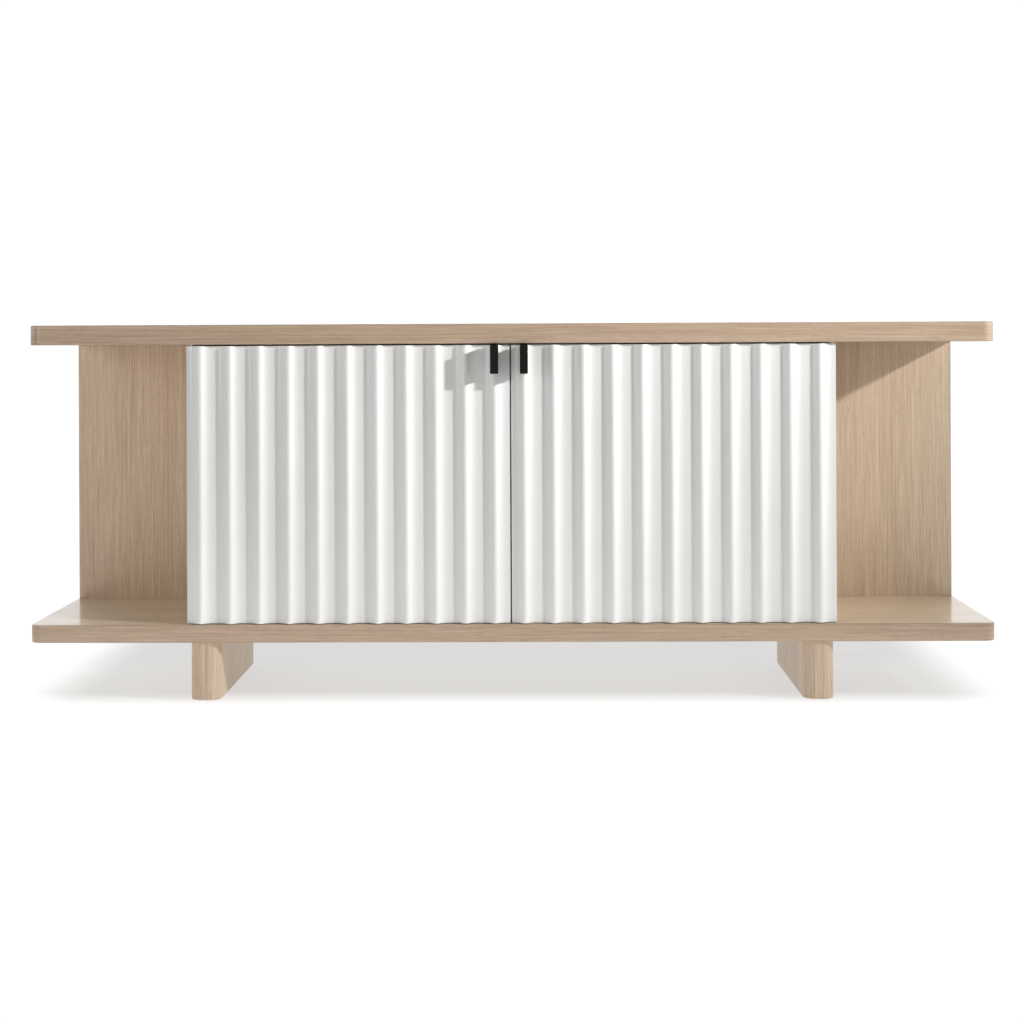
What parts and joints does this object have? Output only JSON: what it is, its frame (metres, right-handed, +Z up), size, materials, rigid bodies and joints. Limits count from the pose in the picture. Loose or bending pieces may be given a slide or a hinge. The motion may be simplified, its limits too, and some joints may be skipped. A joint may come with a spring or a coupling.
{
  "type": "media cabinet",
  "caption": "Low media cabinet with fluted hinged doors between long round-cornered slabs, open end bays, inner shelves and plank legs.",
  "frame": {"origin": "centre of the bottom of the whole object's box, on the floor; the handles' fronts and the slabs' rear edges set its depth", "axes": "+X along the length to the right as seen from the front, -Y to the front, +Z up"},
  "size_m": [1.95, 0.487, 0.762],
  "materials": {
    "oak_veneer": "light greige oak veneer under satin lacquer",
    "oak_core": "darker oak board, satin",
    "white_lacquer": "warm white satin lacquer on fluted board",
    "black_metal": "satin black powder coat",
    "steel": "zinc plated steel",
    "black_plastic": "black moulded nylon",
    "clear_rubber": "translucent soft rubber"
  },
  "bodies": {
    "carcass": {"back_panel_center": "oak_veneer", "back_panel_left": "oak_veneer", "back_panel_right": "oak_veneer", "bottom_slab": "oak_veneer", "cable_grommet_left": "black_plastic", "cable_grommet_right": "black_plastic", "center_partition": "oak_veneer", "leg_bolt_left_front": "steel", "leg_bolt_left_rear": "steel", "leg_bolt_right_front": "steel", "leg_bolt_right_rear": "steel", "leg_glide_left_front": "black_plastic", "leg_glide_left_rear": "black_plastic", "leg_glide_right_front": "black_plastic", "leg_glide_right_rear": "black_plastic", "leg_left": "oak_veneer", "leg_right": "oak_veneer", "magnet_catch_left": "black_plastic", "magnet_catch_right": "black_plastic", "pivot_plate_left_bottom": "steel", "pivot_plate_left_top": "steel", "pivot_plate_right_bottom": "steel", "pivot_plate_right_top": "steel", "shelf_left": "oak_veneer", "shelf_pin_left_inner_front": "steel", "shelf_pin_left_inner_rear": "steel", "shelf_pin_left_outer_front": "steel", "shelf_pin_left_outer_rear": "steel", "shelf_pin_right_inner_front": "steel", "shelf_pin_right_inner_rear": "steel", "shelf_pin_right_outer_front": "steel", "shelf_pin_right_outer_rear": "steel", "shelf_right": "oak_veneer", "side_panel_left": "oak_veneer", "side_panel_right": "oak_veneer", "top_slab": "oak_veneer"},
    "door_left": {"door_bumper_left_lower": "clear_rubber", "door_bumper_left_upper": "clear_rubber", "door_core_left": "oak_core", "door_fluted_panel_left": "white_lacquer", "handle_left": "black_metal", "handle_screw_left_lower": "steel", "handle_screw_left_upper": "steel", "pivot_leaf_left_bottom": "steel", "pivot_leaf_left_top": "steel", "strike_plate_left": "steel"},
    "door_right": {"door_bumper_right_lower": "clear_rubber", "door_bumper_right_upper": "clear_rubber", "door_core_right": "oak_core", "door_fluted_panel_right": "white_lacquer", "handle_right": "black_metal", "handle_screw_right_lower": "steel", "handle_screw_right_upper": "steel", "pivot_leaf_right_bottom": "steel", "pivot_leaf_right_top": "steel", "strike_plate_right": "steel"}
  },
  "joints": [
    {"name": "door_left_hinge", "type": "hinge", "parent": "carcass", "child": "door_left", "pos_m": [-0.648, -0.1835, 0.439], "axis": [0, 0, -1], "range_deg": [0, 110]},
    {"name": "door_right_hinge", "type": "hinge", "parent": "carcass", "child": "door_right", "pos_m": [0.648, -0.1835, 0.439], "axis": [0, 0, 1], "range_deg": [0, 110]}
  ]
}
